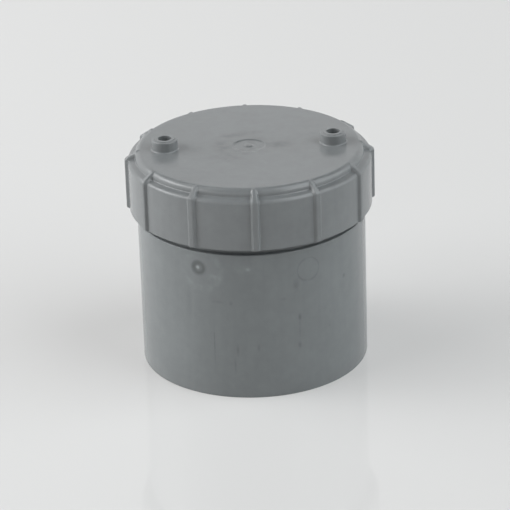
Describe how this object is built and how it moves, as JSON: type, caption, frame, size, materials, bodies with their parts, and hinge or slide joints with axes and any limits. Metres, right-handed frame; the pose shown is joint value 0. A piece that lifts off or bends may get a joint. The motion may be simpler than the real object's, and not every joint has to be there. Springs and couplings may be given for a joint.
{
  "type": "pipe access cap",
  "caption": "Closed access fitting for a soil pipe: a plain spigot tail with a threaded neck, and a ribbed screw cap with hollow key bosses and a seal ring.",
  "frame": {"origin": "centre of the tail's open end, in the plane that it stands on", "axes": "+Z along the pipe's axis, from the open end to the cap; +X through the two key bosses; -Y is the side that the picture shows"},
  "size_m": [0.1198, 0.1198, 0.113],
  "materials": {
    "body_pvc": "injection moulded, semi-gloss",
    "cap_pvc": "injection moulded, semi-gloss",
    "seal_rubber": "moulded, matte"
  },
  "bodies": {
    "body": {"access_body": "body_pvc"},
    "seal": {"seal_ring": "seal_rubber"},
    "cap": {"screw_cap": "cap_pvc"}
  },
  "joints": [
    {"name": "cap_lift", "type": "slide", "parent": "body", "child": "seal", "axis": [0, 0, 1], "range_m": [0, 0.024]},
    {"name": "cap_turn", "type": "hinge", "parent": "seal", "child": "cap", "pos_m": [0, 0, 0.1], "axis": [0, 0, 1], "range_deg": [0, 1440]}
  ],
  "couplings": [
    {"joint": "cap_lift", "follows": "cap_turn", "m_per_rad": 0.00095493}
  ]
}
